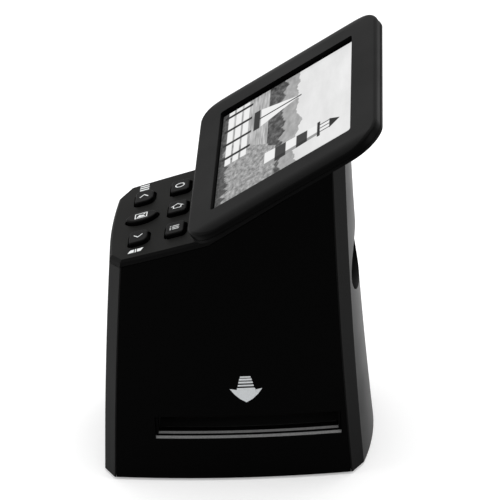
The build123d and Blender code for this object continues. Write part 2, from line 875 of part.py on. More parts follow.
def usb_socket():
    return socket(usb_x, usb_z, usb_width, usb_height, usb_depth, 0.7, 0)


def hdmi_socket():
    return socket(hdmi_x, hdmi_z, hdmi_width, hdmi_height, hdmi_depth, 0.6, 0.4)


def card_socket():
    y1 = socket_face_y
    body = port(0, card_z, card_width, card_height, y1 - card_depth, y1)
    return body - port(0, card_z, card_mouth_width, card_mouth_height, y1 - card_depth + 1, far)


# ---------------------------------------------------------------- screen
screen_mid = screen_length / 2
lcd_mid = lcd_low + lcd_length / 2
window_mid = window_low + window_length / 2
screen_screw_z = -screen_boss_depth - skin - screen_screw_seat - screw_head


def screen_outline(grow=0.0):
    return Pos(0, screen_mid, 0) * RectangleRounded(
        screen_width + 2 * grow, screen_length + 2 * grow, screen_corner + grow)


def crown_drop(x):
    over = max(0.0, x - bezel_crown_start)
    return bezel_crown_radius - (bezel_crown_radius ** 2 - over ** 2) ** 0.5


def crowned_block(low):
    """Block under the bezel's crowned front, from n = low up."""
    x1 = screen_width / 2 + skin
    xm = (bezel_crown_start + x1) / 2
    edges = [
        Line((-bezel_crown_start, 0), (bezel_crown_start, 0)),
        ThreePointArc((bezel_crown_start, 0), (xm, -crown_drop(xm)), (x1, -crown_drop(x1))),
        Polyline((x1, -crown_drop(x1)), (x1, low), (-x1, low), (-x1, -crown_drop(x1))),
        ThreePointArc((-x1, -crown_drop(x1)), (-xm, -crown_drop(xm)), (-bezel_crown_start, 0)),
    ]
    face = Plane.XZ * make_face(edges)
    return Pos(0, screen_length + 5, 0) * extrude(face, amount=screen_length + 10)


def screen_bezel():
    prism = Pos(0, 0, -bezel_depth) * extrude(screen_outline(), amount=bezel_depth + 1)
    body = prism & crowned_block(-bezel_depth)
    front = [e for e in body.edges() if e.center().Z > -bezel_depth + 0.5
             and abs(e.center().Z - e.bounding_box().min.Z) < 2.5]
    rim = [e for e in front if e.bounding_box().size.Z < 1.5]
    body = fillet(rim, bezel_edge_round)
    pocket = Pos(0, screen_mid, 0) * rounded_plate(
        2 * bezel_crown_start, screen_length - 2 * bezel_wall, screen_corner - bezel_crown_in,
        -bezel_depth - 1, -bezel_face - skin)
    body -= pocket
    lcd = Pos(0, lcd_mid, 0) * rounded_plate(lcd_width + 2 * lcd_gap, lcd_length + 2 * lcd_gap,
                                                0.5, -bezel_depth - 1, -bezel_face)
    body -= lcd
    for sx in (-1, 1):
        for up in (screen_screw_low, screen_screw_high):
            body += rod(screen_boss_radius, -screen_boss_depth, -bezel_face + 0.3,
                        sx * screen_screw_x, up)
    for sx in (-1, 1):
        for up in (screen_screw_low, screen_screw_high):
            body -= rod(screw_hole, -far, screen_screw_z + screen_screw_length + 0.1,
                        sx * screen_screw_x, up)
    hole = Pos(0, window_mid, 0) * rounded_plate(window_width, window_length, window_corner, -9, 9)
    return on_screen * (body - hole)


def rear_block(inset):
    """Back housing: a straight rim, then walls that slope in to a flat back."""
    rim_low = -(bezel_depth + rear_rim)
    rim = Pos(0, 0, rim_low) * extrude(screen_outline(rear_rim_proud - inset), amount=rear_rim)
    flat_mid = (rear_taper_low + screen_length - rear_taper_high) / 2
    flat_width = screen_width - 2 * rear_taper_side
    flat_length = screen_length - rear_taper_low - rear_taper_high
    low = Pos(0, 0, rim_low) * screen_outline(rear_rim_proud - inset)
    high = Pos(0, flat_mid, -screen_depth + inset) * RectangleRounded(
        flat_width - 2 * inset, flat_length - 2 * inset, rear_flat_corner)
    return rim + loft([low, high], ruled=True)


def screen_back():
    shell = rear_block(0) - rear_block(rear_wall)
    shell -= block(-far, far, -far, far, -bezel_depth - skin, far)
    shell -= Pos(0, 0, -bezel_depth - rear_rim) * extrude(screen_outline(-rear_wall), amount=far)
    for sx in (-1, 1):
        barrel = cross_rod(hinge_radius, knuckle_x, knuckle_x + knuckle_length, hinge_u, hinge_n)
        web = block(knuckle_x, knuckle_x + knuckle_length, hinge_u, hinge_u + hinge_radius + 1,
                    -screen_depth + 0.5, hinge_n)
        knuckle = barrel + web
        cuts = None
        for x0, x1 in ear_spans:
            c = ear_gap if x0 < knuckle_x else ear_clear
            d = ear_clear if x0 < knuckle_x else ear_gap
            a, b = x0 - d, x1 + c
            cut = cross_rod(hinge_radius + ear_clear, a, b, hinge_u, hinge_n)
            cut += block(a, b, -6, hinge_u, -screen_depth - 2, hinge_n + ear_swing)
            cut += block(a, b, -6, hinge_u + hinge_radius + ear_clear, -screen_depth - 2, hinge_n)
            cuts = cut if cuts is None else cuts + cut
        if sx < 0:
            knuckle, cuts = mirror(knuckle, Plane.YZ), mirror(cuts, Plane.YZ)
        shell = shell + knuckle - cuts
    bore = cross_rod(pin_radius + pin_fit, ear_inner_x - 0.5, ear_outer_x + ear_thickness + 0.5,
                     hinge_u, hinge_n)
    shell = shell - bore - mirror(bore, Plane.YZ)
    half = ribbon_width / 2 + 1.5
    shell -= block(-half, half, -6, hinge_u + hinge_radius + ear_clear, -screen_depth - 2, hinge_n)
    shell -= cross_rod(ribbon_roll_radius + ear_clear, -half, half, hinge_u, hinge_n)
    for sx in (-1, 1):
        for up in (screen_screw_low, screen_screw_high):
            x = sx * screen_screw_x
            well = rod(screen_boss_radius + 1.0, -screen_depth, -screen_boss_depth - skin, x, up)
            shell += well & rear_block(0)
            shell -= rod(screw_hole, -far, 0, x, up)
            shell -= rod(screw_head_radius + 0.2, -far, screen_screw_z + screw_head, x, up)
    return on_screen * shell


def lcd_panel():
    low = -bezel_face - skin - lcd_glass
    return on_screen * Pos(0, lcd_mid, 0) * rounded_plate(lcd_width, lcd_length, 0.4, low,
                                                             low + lcd_glass)


def lcd_backlight():
    high = -bezel_face - skin - lcd_glass
    return on_screen * Pos(0, lcd_mid, 0) * rounded_plate(lcd_width, lcd_length, 0.4,
                                                          high - lcd_back, high)


def screen_board():
    high = -bezel_face - skin - lcd_glass - lcd_back
    return on_screen * block(-screen_board_x, screen_board_x, screen_board_up,
                             screen_board_up + screen_board_length,
                             high - keypad_board_thickness, high)


def screen_screws():
    screws = []
    for sx in (-1, 1):
        for up in (screen_screw_low, screen_screw_high):
            one = screw(sx * screen_screw_x, up, screen_screw_z, length=screen_screw_length)
            screws.append(on_screen * one)
    return Compound(screws)


# ---------------------------------------------------------------- hinge
def hinge_pins():
    x0, x1 = ear_inner_x + 0.3, ear_outer_x + ear_thickness - 0.3
    pin = cross_rod(pin_radius, x0, x1, hinge_u, hinge_n)
    return Compound([on_screen * pin, on_screen * mirror(pin, Plane.YZ)])


def hinge_washers():
    rings = []
    for x in (ear_inner_x + ear_thickness + washer_gap, knuckle_x + knuckle_length + washer_gap):
        ring = cross_rod(hinge_radius - 0.2, x, x + washer_thickness, hinge_u, hinge_n)
        ring -= cross_rod(pin_radius + 0.1, x - 1, x + 2, hinge_u, hinge_n)
        rings += [on_screen * ring, on_screen * mirror(ring, Plane.YZ)]
    return Compound(rings)


def ribbon():
    """Flat cable from the main board up through the bed to a roll round the hinge line."""
    half = ribbon_width / 2
    roll = cross_rod(ribbon_roll_radius, -half, half, hinge_u, hinge_n)
    roll -= cross_rod(ribbon_roll_radius - ribbon_thickness, -far, far, hinge_u, hinge_n)
    tail = block(-half, half, hinge_u - ribbon_thickness / 2, hinge_u + ribbon_thickness / 2,
                 bed_n - cover_wall - ribbon_bend, hinge_n - ribbon_roll_radius + 0.1)
    top = on_screen * (roll + tail)
    foot = screen_frame.from_local_coords((0, hinge_u, bed_n - cover_wall - ribbon_bend))
    t = ribbon_thickness / 2
    drop = block(-half, half, foot.Y - t, foot.Y + t, main_board_z + board_thickness, foot.Z + 0.3)
    return top + drop


def bed_pads():
    pad = rod(pad_radius, bed_n, bed_n + pad_height)
    pad = chamfer(pad.faces().sort_by(Axis.Z)[-1].edges(), 0.2)
    return Compound([on_screen * Pos(sx * pad_x, pad_up, 0) * pad for sx in (-1, 1)])


# ---------------------------------------------------------------- write every piece
def put(name, shape):
    placed = Pos(0, -footprint_y, foot_height) * shape
    export_step(placed, f"parts/{name}.step")


os.makedirs("parts", exist_ok=True)
put("front_shell", front_shell())
put("back_shell", back_shell())
put("right_side_panel", side_panel(1))
put("left_side_panel", side_panel(-1))
put("right_slot_trim", slot_trim(1))
put("left_slot_trim", slot_trim(-1))
put("top_cover", top_cover())
put("base_cover", base_cover())
put("rubber_feet", rubber_feet())
put("base_screws", base_screws())
put("film_guide_lower", film_guide_lower())
put("optics_tower", optics_tower())
put("guide_screws", guide_screws())
put("light_box", light_box())
put("light_diffuser", light_diffuser())
put("led_board", led_board())
put("backlight_leds", backlight_leds())
put("lens_shroud", lens_shroud())
put("lens_barrel", lens_barrel())
put("front_lens", lens_element(shroud_top_z + lens_inset))
put("rear_lens", lens_element(barrel_top_z - lens_inset))
put("main_board", main_board())
put("board_screws", board_screws())
put("image_sensor", image_sensor())
put("board_chips", board_chips())
put("usb_socket", usb_socket())
put("hdmi_socket", hdmi_socket())
put("card_socket", card_socket())
put("keypad_board", keypad_board())
put("keypad_screws", keypad_screws())
put("tact_switches", tact_switches())
for name, (row, column) in keys.items():
    put(name, on_panel * key_cap(row, column))
put("screen_bezel", screen_bezel())
put("screen_back", screen_back())
put("lcd_panel", lcd_panel())
put("lcd_backlight", lcd_backlight())
put("screen_board", screen_board())
put("screen_screws", screen_screws())
put("hinge_pins", hinge_pins())
put("hinge_washers", hinge_washers())
put("screen_ribbon", ribbon())
put("bed_pads", bed_pads())
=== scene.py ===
from math import cos, pi, radians, sin

import bmesh
import bpy
from mathutils import Matrix, Vector
from mathutils.bvhtree import BVHTree


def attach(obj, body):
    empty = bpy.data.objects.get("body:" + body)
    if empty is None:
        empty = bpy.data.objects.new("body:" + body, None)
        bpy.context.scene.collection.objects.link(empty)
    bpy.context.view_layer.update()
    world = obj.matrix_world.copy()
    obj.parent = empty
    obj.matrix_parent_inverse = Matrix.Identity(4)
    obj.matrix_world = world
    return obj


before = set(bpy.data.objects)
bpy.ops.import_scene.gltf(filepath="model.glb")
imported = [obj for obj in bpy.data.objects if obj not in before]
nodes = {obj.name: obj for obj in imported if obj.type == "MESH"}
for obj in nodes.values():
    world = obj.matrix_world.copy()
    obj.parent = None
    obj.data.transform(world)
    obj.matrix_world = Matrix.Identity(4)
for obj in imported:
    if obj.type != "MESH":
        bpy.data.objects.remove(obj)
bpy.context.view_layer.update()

# ---------------------------------------------------------------- front and back shells
# The two end mouldings of the tower, with the flat corner strips that wrap on to the sides.
# Black ABS from a spark-eroded tool: a fine even grain that softens every reflection. The tool
# of the back shell is polished a touch finer than that of the front, and its darker colour is
# painted shade.


def srgb(code):
    """Linear colour of an sRGB hex code."""
    values = [int(code[i:i + 2], 16) / 255 for i in (1, 3, 5)]
    linear = [v / 12.92 if v <= 0.04045 else ((v + 0.055) / 1.055) ** 2.4 for v in values]
    return (*linear, 1.0)


def per_mm(size):
    """Texture scale, per metre, whose features measure size millimetres."""
    return 1000 / size


def add(tree, kind, inputs=(), **settings):
    """Adds one node. inputs gives sockets, by name or number, a value or another socket."""
    node = tree.nodes.new(kind)
    for key, value in settings.items():
        setattr(node, key, value)
    for key, value in dict(inputs).items():
        if isinstance(value, bpy.types.NodeSocket):
            tree.links.new(value, node.inputs[key])
        else:
            node.inputs[key].default_value = value
    return node


def start(name):
    """A new material with its tree and its Principled shader."""
    material = bpy.data.materials.new(name)
    material.use_nodes = True
    return material, material.node_tree, material.node_tree.nodes["Principled BSDF"]


def plug(tree, shader, inputs):
    for key, value in inputs.items():
        if isinstance(value, bpy.types.NodeSocket):
            tree.links.new(value, shader.inputs[key])
        else:
            shader.inputs[key].default_value = value


middle = {"From Min": 0.3, "From Max": 0.7}     # the part of its range where most noise lies
slow_drift = 26.0           # mm, over which the gloss of a moulding wanders
edge_round = 0.3            # mm, how far the light rolls over the edge of a moulding
sill_top = 0.0200           # metres: the painted highlight on the sills of the film slots lies below this
sill_fade = 0.0003
side_shade_from, side_shade_to = 0.12, 0.45       # how far sideways a face looks, where the painted shade of its sides sets in


def moulded(name, colour, rough, grain, depth, shine=0.5, side_shade=None, sill_highlight=None):
    """Moulded polymer: grain of that size and depth in mm, and slow drifts in how it shines.

    The colour for sideways faces is painted shade, where little light falls on them, and the
    colour for the sill bevels low down a painted highlight, where light catches them.
    """
    material, tree, shader = start(name)
    coordinates = add(tree, "ShaderNodeTexCoord").outputs
    place = coordinates["Object"]
    pits = add(tree, "ShaderNodeTexNoise", {"Vector": place, "Scale": per_mm(grain),
                                            "Detail": 3.0}).outputs["Fac"]
    drift = add(tree, "ShaderNodeTexNoise", {"Vector": place, "Scale": per_mm(slow_drift),
                                             "Detail": 2.0}).outputs["Fac"]
    tone = add(tree, "ShaderNodeMapRange", {"Value": pits, **middle, "To Min": 0.8,
                                            "To Max": 1.15}).outputs["Result"]
    facing = add(tree, "ShaderNodeSeparateXYZ", {0: coordinates["Normal"]}).outputs
    sideways = add(tree, "ShaderNodeMath", {0: facing[0]}, operation="ABSOLUTE").outputs[0]
    plain = srgb(colour)
    # Painted shade: faces that look sideways take a darker tone, for the little light that reaches
    # them.
    if side_shade:
        side_shade_share = add(tree, "ShaderNodeMapRange", {"Value": sideways, "From Min": side_shade_from,
                                                 "From Max": side_shade_to}).outputs["Result"]
        plain = add(tree, "ShaderNodeMix", {"Factor": side_shade_share, "A": plain, "B": srgb(side_shade)},
                    data_type="RGBA").outputs[2]
    # Painted highlight: low bevels that lean up and sideways, the sills of the film slots, take a
    # light tone where light catches them.
    if sill_highlight:
        height = add(tree, "ShaderNodeSeparateXYZ", {0: place}).outputs[2]
        sill_highlight_mask = add(tree, "ShaderNodeMapRange",
                     {"Value": height, "From Min": sill_top, "From Max": sill_top + sill_fade,
                      "To Min": 1.0, "To Max": 0.0}).outputs["Result"]
        for lean, least, most in ((facing[2], 0.45, 0.6), (sideways, 0.35, 0.5)):
            share = add(tree, "ShaderNodeMapRange", {"Value": lean, "From Min": least,
                                                     "From Max": most}).outputs["Result"]
            sill_highlight_mask = add(tree, "ShaderNodeMath", {0: sill_highlight_mask, 1: share},
                         operation="MULTIPLY").outputs[0]
        plain = add(tree, "ShaderNodeMix", {"Factor": sill_highlight_mask, "A": plain, "B": srgb(sill_highlight)},
                    data_type="RGBA").outputs[2]
    tint = add(tree, "ShaderNodeMix", {"Factor": 1.0, "A": plain, "B": tone},
               data_type="RGBA", blend_type="MULTIPLY")
    edge = add(tree, "ShaderNodeBevel", {"Radius": edge_round / 1000}, samples=4)
    bump = add(tree, "ShaderNodeBump", {"Height": pits, "Strength": 0.6, "Normal": edge.outputs[0],
                                        "Distance": depth / 1000})
    gloss = add(tree, "ShaderNodeMapRange", {"Value": drift, **middle, "To Min": rough - 0.04,
                                             "To Max": rough + 0.04}).outputs["Result"]
    plug(tree, shader, {
        "Base Color": tint.outputs[2],
        "Roughness": gloss,
        "Specular IOR Level": shine,
        "Normal": bump.outputs["Normal"],
    })
    return material


def dress(material, *names):
    for name in names:
        for place in nodes[name].material_slots:
            place.material = material


dress(moulded("black_abs_fine_grain", "#0b0b0b", 0.36, 0.35, 0.012, 0.06), "front_shell",
      "base_cover")
# Painted shade: the back shell's colour is darker than the front's, for its less lit side.
dress(moulded("black_abs_polished_painted_shade", "#060606", 0.3, 0.35, 0.012, 0.045), "back_shell")

# ---------------------------------------------------------------- side panels
# Flat-looking, faintly bowed panels, one on each side, with the film slot near the desk.
# Smoother black ABS, which stays nearly black because it only mirrors the floor; its colour is
# darker than the other black mouldings, painted shade for sides that little light reaches. The
# bevel on the slot's sill has a grey painted highlight, which shows as a thin bright line.
dress(moulded("black_abs_smooth_painted_shade_and_highlight", "#030303", 0.4, 0.5, 0.004, 0.016, sill_highlight="#7a7a7a"),
      "right_side_panel", "left_side_panel")

# The arrow over the right-hand slot shows which way the film tray goes in: light grey ink,
# screen-printed, so it lies on the panel as a film a few hundredths of a millimetre thick.
ink_lift = 0.00003
ink_mesh = 0.0012           # longest edge of a print's mesh, so that it follows the surface
ink_reach = 0.01            # how far over the surface a print starts, before it is pressed down
sharpest = 0.4


def band(points, width, closed=False):
    """Quads of a line of that width through the points, mitred at its corners.

    A very sharp corner keeps a mitre of at most 1 / sharpest times the half width.
    """
    points = [Vector(p) for p in points]
    count = len(points)
    rails = []
    for i, p in enumerate(points):
        before = points[i - 1] if i or closed else None
        after = points[(i + 1) % count] if i < count - 1 or closed else None
        a = (p - before).normalized() if before else (after - p).normalized()
        b = (after - p).normalized() if after else a
        across = Vector((-a.y, a.x))
        mitre = (across + Vector((-b.y, b.x))).normalized()
        mitre *= width / 2 / max(sharpest, mitre.dot(across))
        rails.append((p + mitre, p - mitre))
    last = count if closed else count - 1
    quads = []
    for i in range(last):
        j = (i + 1) % count
        quads.append((rails[i][0], rails[j][0], rails[j][1], rails[i][1]))
    return quads


def arc(radius, turns=24, centre=(0, 0), stretch=1.0):
    """Points round a circle, or round an ellipse that is stretch times as wide."""
    angles = [2 * pi * i / turns for i in range(turns)]
    return [(centre[0] + radius * stretch * cos(t), centre[1] + radius * sin(t)) for t in angles]


def printed(name, outlines, origin, right, up, on, body, ink):
    """Ink shapes, in mm on a plane through origin, pressed straight down on to a CAD piece."""
    out = right.cross(up)
    mesh = nodes[on].data
    tree = BVHTree.FromPolygons([v.co for v in mesh.vertices], [p.vertices for p in mesh.polygons])
    bm = bmesh.new()
    for outline in outlines:
        bm.faces.new([bm.verts.new(origin + (right * p[0] + up * p[1]) / 1000) for p in outline])
    bmesh.ops.triangulate(bm, faces=bm.faces[:])
    for _ in range(4):
        long = [e for e in bm.edges if e.calc_length() > ink_mesh]
        if long:
            bmesh.ops.subdivide_edges(bm, edges=long, cuts=1)
            bmesh.ops.triangulate(bm, faces=bm.faces[:])
    for v in bm.verts:
        hit = tree.ray_cast(v.co + out * ink_reach, -out)[0]
        if hit is not None:
            v.co = hit + out * ink_lift
    bm.normal_update()
    for face in bm.faces:
        if face.normal.dot(out) < 0:
            face.normal_flip()
    data = bpy.data.meshes.new(name)
    bm.to_mesh(data)
    bm.free()
    data.materials.append(ink)
    print_object = bpy.data.objects.new(name, data)
    bpy.context.scene.collection.objects.link(print_object)
    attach(print_object, body)
    return print_object


def ink_material(name, colour):
    """Screen-printed ink: dense and matt, thinner here and there where the mesh let less by."""
    material, tree, shader = start(name)
    place = add(tree, "ShaderNodeTexCoord").outputs["Object"]
    weave = add(tree, "ShaderNodeTexNoise", {"Vector": place, "Scale": per_mm(0.4),
                                             "Detail": 3.0}).outputs["Fac"]
    tone = add(tree, "ShaderNodeMapRange", {"Value": weave, **middle, "To Min": 0.9,
                                            "To Max": 1.03}).outputs["Result"]
    tint = add(tree, "ShaderNodeMix", {"Factor": 1.0, "A": srgb(colour), "B": tone},
               data_type="RGBA", blend_type="MULTIPLY")
    plug(tree, shader, {"Base Color": tint.outputs[2], "Roughness": 0.6,
                        "Specular IOR Level": 0.3})
    return material


grey_ink = ink_material("pale_grey_screen_ink", "#d3d6d8")
head = [(0, 0), (2.2, 1.35), (4.1, 3.2), (5.6, 5.3), (3.15, 4.85), (3.05, 5.6), (-3.05, 5.6),
        (-3.15, 4.85), (-5.6, 5.3), (-4.1, 3.2), (-2.2, 1.35)]
stripe_taper = 0.12
stripe_rows = ((2.8, 6.2, 0.62), (2.52, 7.35, 0.7), (2.22, 8.45, 0.75), (1.9, 9.5, 0.55))
stripes = [[(-w, h), (w, h), (w - stripe_taper, h + t), (stripe_taper - w, h + t)]
           for w, h, t in stripe_rows]
arrow_tip = Vector((0.034, 0.00145, 0.0306))
printed("tray_arrow", [head] + stripes, arrow_tip, Vector((0, 1, 0)), Vector((0, 0, 1)),
        "right_side_panel", "housing", grey_ink)

# ---------------------------------------------------------------- slot frames
# Separate frames in the two mouths of the film channel, moulded in satin black ABS. Only the
# bevel on their lower lip catches light, and that light is a grey painted highlight.
dress(moulded("black_abs_satin_painted_highlight", "#030303", 0.4, 0.6, 0.004, 0.02, sill_highlight="#6a6a6a"),
      "right_slot_trim", "left_slot_trim")

# ---------------------------------------------------------------- top cover
# One moulding: sloping key panel, screen bed and hinge ears. Coarser spark grain than the
# tower, so that it reads as a lighter, softer black beside it.
# Painted shade: the faces of the cover that look sideways take a near-black tone.
dress(moulded("black_abs_spark_grain", "#121211", 0.5, 0.3, 0.02, 0.05, side_shade="#020202"),
      "top_cover")

panel_corner = Vector((0, -0.038444, 0.0846))
panel_slope = radians(14.8)
panel_up = Vector((0, cos(panel_slope), sin(panel_slope)))
rightward = Vector((1, 0, 0))
panel_out = rightward.cross(panel_up)
white_ink = ink_material("white_screen_ink", "#e4e6e6")


def on_panel(name, outlines, x, up, node, body):
    """Prints marks in mm round a point of the panel; the marks read from the right side."""
    place = panel_corner + (rightward * x + panel_up * up + panel_out * 2) / 1000
    return printed(name, outlines, place, panel_up, -rightward, node, body, white_ink)


bar_half, bar_thick = 1.7, 0.85
bars = [[(-bar_half, h), (bar_half, h), (bar_half, h + bar_thick), (-bar_half, h + bar_thick)]
        for h in (-2.0, -0.5, 1.0)]
on_panel("panel_mark_left", bars, -23.6, 4.8, "top_cover", "housing")
flip = [[(-2.8, -1.0), (-0.55, -1.0), (-0.55, 1.0), (-1.9, 1.0)],
        [(0.55, -1.0), (1.9, -1.0), (2.8, 1.0), (0.55, 1.0)], *band([(0, -1.2), (0, 1.2)], 0.4)]
on_panel("panel_mark_right", flip, 22.2, 4.9, "top_cover", "housing")

# ---------------------------------------------------------------- keys
# Six loose caps in wells. Satin black ABS; the fingers leave the tops smoother than the panel.
keys = ("left_key", "scan_key", "right_key", "mode_key", "home_key", "menu_key")
# Painted shade: the flanks of the caps, which look sideways, take a near-black tone.
dress(moulded("black_abs_key_satin", "#0c0c0c", 0.4, 0.5, 0.006, 0.045, side_shade="#030303"), *keys)

line = 0.42                 # mm, like the other measures of the marks
near_row, far_row = 5.7, 18.9
near_pitch, far_pitch = 14.6, 15.4


def on_key(key, outlines, x, up):
    """Prints a mark on the top of a key, which it rides."""
    on_panel(key + "_mark", outlines, x, up, key, key + "_body")


chevron = [(-1.55, -0.8), (0, 0.85), (1.55, -0.8)]
on_key("left_key", band(chevron, line), -near_pitch, near_row)
on_key("right_key", band([(x, -y) for x, y in chevron], line), near_pitch, near_row)
picture = band([(-2.1, -1.5), (2.1, -1.5), (2.1, 1.5), (-2.1, 1.5)], 0.36, True)
picture += [[(-1.6, -1.05), (1.6, -1.05), (0.75, 0.25), (0.2, -0.3), (-0.55, 0.75)]]
picture += [arc(0.36, 12, (1.1, 0.75))]
on_key("scan_key", picture, 0, near_row)
ring = band(arc(1.35, 28, stretch=1.15), 0.45, True)
on_key("mode_key", ring, -far_pitch, far_row)
house = band([(-1.35, -1.3), (1.35, -1.3), (1.35, 0.1), (2.0, 0.1), (0, 1.6), (-2.0, 0.1),
              (-1.35, 0.1)], 0.36, True)
on_key("home_key", house, 0, far_row)
rows = []
for h in (-1.25, -0.2, 0.85):
    for left, right in ((-1.7, -1.2), (-0.8, 1.6)):
        rows += [[(left, h), (right, h), (right, h + line), (left, h + line)]]
on_key("menu_key", rows, far_pitch, far_row)

# ---------------------------------------------------------------- screen case
# Bezel and rear housing, clipped and screwed together round the screen.
# Satin black ABS, finer than the top cover, so its crowned front shows long soft gradients.
# Painted shade: on bezel and rear housing the faces that look sideways take a near-black tone.
dress(moulded("black_abs_bezel_satin", "#0a0a0a", 0.38, 0.3, 0.008, 0.03, side_shade="#020202"),
      "screen_bezel")
dress(moulded("black_abs_rear_case", "#090909", 0.42, 0.35, 0.01, 0.04, side_shade="#020202"),
      "screen_back")

# ---------------------------------------------------------------- screen
# The LCD is a sheet of glass with a black mask round the lit area, sunk behind the bezel.
# Under it are its pressed metal tray and a small driver board.
lcd_glass, tree, shader = start("black_masked_lcd_glass")
place = add(tree, "ShaderNodeTexCoord").outputs["Object"]
smears = add(tree, "ShaderNodeTexNoise", {"Vector": place, "Scale": per_mm(8.0), "Detail": 2.0})
gloss = add(tree, "ShaderNodeMapRange", {"Value": smears.outputs["Fac"], **middle,
                                         "To Min": 0.12, "To Max": 0.18}).outputs["Result"]
plug(tree, shader, {"Base Color": srgb("#030303"), "Specular IOR Level": 0.03,
                    "Roughness": gloss})
dress(lcd_glass, "lcd_panel")

screen_slope = radians(31.0)
screen_up = Vector((0, cos(screen_slope), sin(screen_slope)))
screen_out = rightward.cross(screen_up)
screen_corner = Vector((0, -0.0142462, 0.1032586))
lit_width, lit_height = 0.0701, 0.0536
lit_low, lit_depth = 0.0097, 0.00153


def picture_material():
    """The lit picture: a coast in black and white, worked out from the place on the screen.

    Tones run from 0, black, to 1, white. Heights are shares of the picture's height, and places
    and half widths across it are shares of its width. A mask is 1 inside a shape and 0 outside.
    """
    material, tree, shader = start("lit_lcd_picture")
    spot = add(tree, "ShaderNodeTexCoord").outputs["Object"]
    across = add(tree, "ShaderNodeSeparateXYZ", {0: spot}).outputs[0]
    along = add(tree, "ShaderNodeVectorMath", {0: spot, 1: screen_up},
                operation="DOT_PRODUCT").outputs["Value"]
    low_edge = screen_corner.dot(screen_up) + lit_low
    h = add(tree, "ShaderNodeMath", {0: across, 1: 1 / lit_width, 2: 0.5},
            operation="MULTIPLY_ADD").outputs[0]
    v = add(tree, "ShaderNodeMath", {0: along, 1: 1 / lit_height, 2: -low_edge / lit_height},
            operation="MULTIPLY_ADD").outputs[0]
    where = add(tree, "ShaderNodeCombineXYZ", {0: h, 1: v}).outputs[0]

    def clouded(level, depth, wide, high, shift=0.0):
        """Level, give or take half of depth, in wide by high soft patches over the picture."""
        patches = add(tree, "ShaderNodeVectorMath", {0: where, 1: (wide, high, 0.0),
                                                     2: (shift, 0.0, 0.0)},
                      operation="MULTIPLY_ADD").outputs[0]
        cloud = add(tree, "ShaderNodeTexNoise", {"Vector": patches, "Scale": 1.0, "Detail": 5.0,
                                                 "Roughness": 0.6}).outputs["Fac"]
        return add(tree, "ShaderNodeMapRange",
                   {"Value": cloud, "To Min": level - depth / 2, "To Max": level + depth / 2},
                   clamp=False).outputs["Result"]

    def even(along_axis, first, last):
        """A measure that runs evenly from first to last over the picture."""
        return add(tree, "ShaderNodeMapRange", {"Value": along_axis, "To Min": first,
                                                "To Max": last}, clamp=False).outputs["Result"]

    def under(edge, value, soft=0.006):
        """Mask of where value is below edge, with a soft step at it."""
        gap = add(tree, "ShaderNodeMath", {0: edge, 1: value}, operation="SUBTRACT").outputs[0]
        return add(tree, "ShaderNodeMapRange", {"Value": gap, "From Min": -soft / 2,
                                                "From Max": soft / 2}).outputs["Result"]

    def both(first, second):
        """Mask of what lies inside two masks."""
        return add(tree, "ShaderNodeMath", {0: first, 1: second},
                   operation="MULTIPLY").outputs[0]

    def near(centre, half):
        """Mask of an upright strip, half wide on each side of centre."""
        offset = add(tree, "ShaderNodeMath", {0: h, 1: centre}, operation="SUBTRACT").outputs[0]
        away = add(tree, "ShaderNodeMath", {0: offset}, operation="ABSOLUTE").outputs[0]
        return under(half, away, 0.004)

    def between(low, high):
        """Mask of a level strip."""
        return both(under(high, v), under(v, low))

    def paint(below, tone, mask):
        """Lays a tone over the picture so far, inside a mask."""
        return add(tree, "ShaderNodeMix", {0: mask, 2: below, 3: tone}).outputs[0]

    waterline, tower_at, boat_at, fence_end = 0.37, 0.77, 0.27, 0.58
    tower_top, gallery_top, lamp_top, roof_top = 0.76, 0.775, 0.845, 0.92

    # A pale sky with thin cloud, a far ridge, a near hill and the sea.
    seen = add(tree, "ShaderNodeMath", {0: even(v, 0.86, 0.89), 1: clouded(0, 0.16, 2.5, 6)},
               operation="ADD").outputs[0]
    seen = paint(seen, clouded(0.62, 0.35, 14, 22), under(clouded(0.60, 0.28, 3, 0, 4), v))
    hill = clouded(0.48, 0.30, 5, 0, 11)
    seen = paint(seen, clouded(0.30, 0.8, 26, 30), under(hill, v, 0.01))
    seen = paint(seen, clouded(0.66, 0.8, 6, 60), under(waterline, v))
    # The headland rises to the right and levels out.
    level = add(tree, "ShaderNodeMath", {0: even(h, -0.335, 0.815), 1: 0.44},
                operation="MINIMUM").outputs[0]
    headland = add(tree, "ShaderNodeMath", {0: level, 1: clouded(0, 0.14, 11, 0, 2)},
                   operation="ADD").outputs[0]
    seen = paint(seen, clouded(0.58, 0.9, 34, 34), under(headland, v))
    # On it stands a banded lighthouse, in shade on its right, with a gallery and a lamp room.
    taper = even(v, 0.098, 0.038)
    tower = both(near(tower_at, taper), between(0.36, tower_top))
    seen = paint(seen, 0.95, tower)
    for low in (0.44, 0.60):
        seen = paint(seen, 0.2, both(tower, between(low, low + 0.08)))
    shade_edge = add(tree, "ShaderNodeMath", {0: taper, 1: 0.45, 2: tower_at},
                     operation="MULTIPLY_ADD").outputs[0]
    shaded = add(tree, "ShaderNodeMath", {0: seen, 1: 0.6}, operation="MULTIPLY").outputs[0]
    seen = paint(seen, shaded, both(tower, under(h, shade_edge)))
    seen = paint(seen, 0.08, both(near(tower_at, 0.074), between(0.755, gallery_top)))
    seen = paint(seen, 0.97, both(near(tower_at, 0.036), between(gallery_top, lamp_top)))
    for post in (0.734, tower_at, 0.806):
        seen = paint(seen, 0.12, both(near(post, 0.004), between(gallery_top, lamp_top)))
    roof = even(v, 0.571, -0.049)
    seen = paint(seen, 0.08, both(near(tower_at, roof), between(lamp_top, roof_top)))
    # A sailing boat: sail, mast and hull.
    sail = even(v, 0.186, -0.114)
    seen = paint(seen, 0.97, both(near(boat_at, sail), between(0.31, 0.61)))
    seen = paint(seen, 0.1, both(near(boat_at, 0.006), between(0.27, 0.62)))
    seen = paint(seen, 0.12, both(near(boat_at, 0.10), between(0.255, 0.30)))
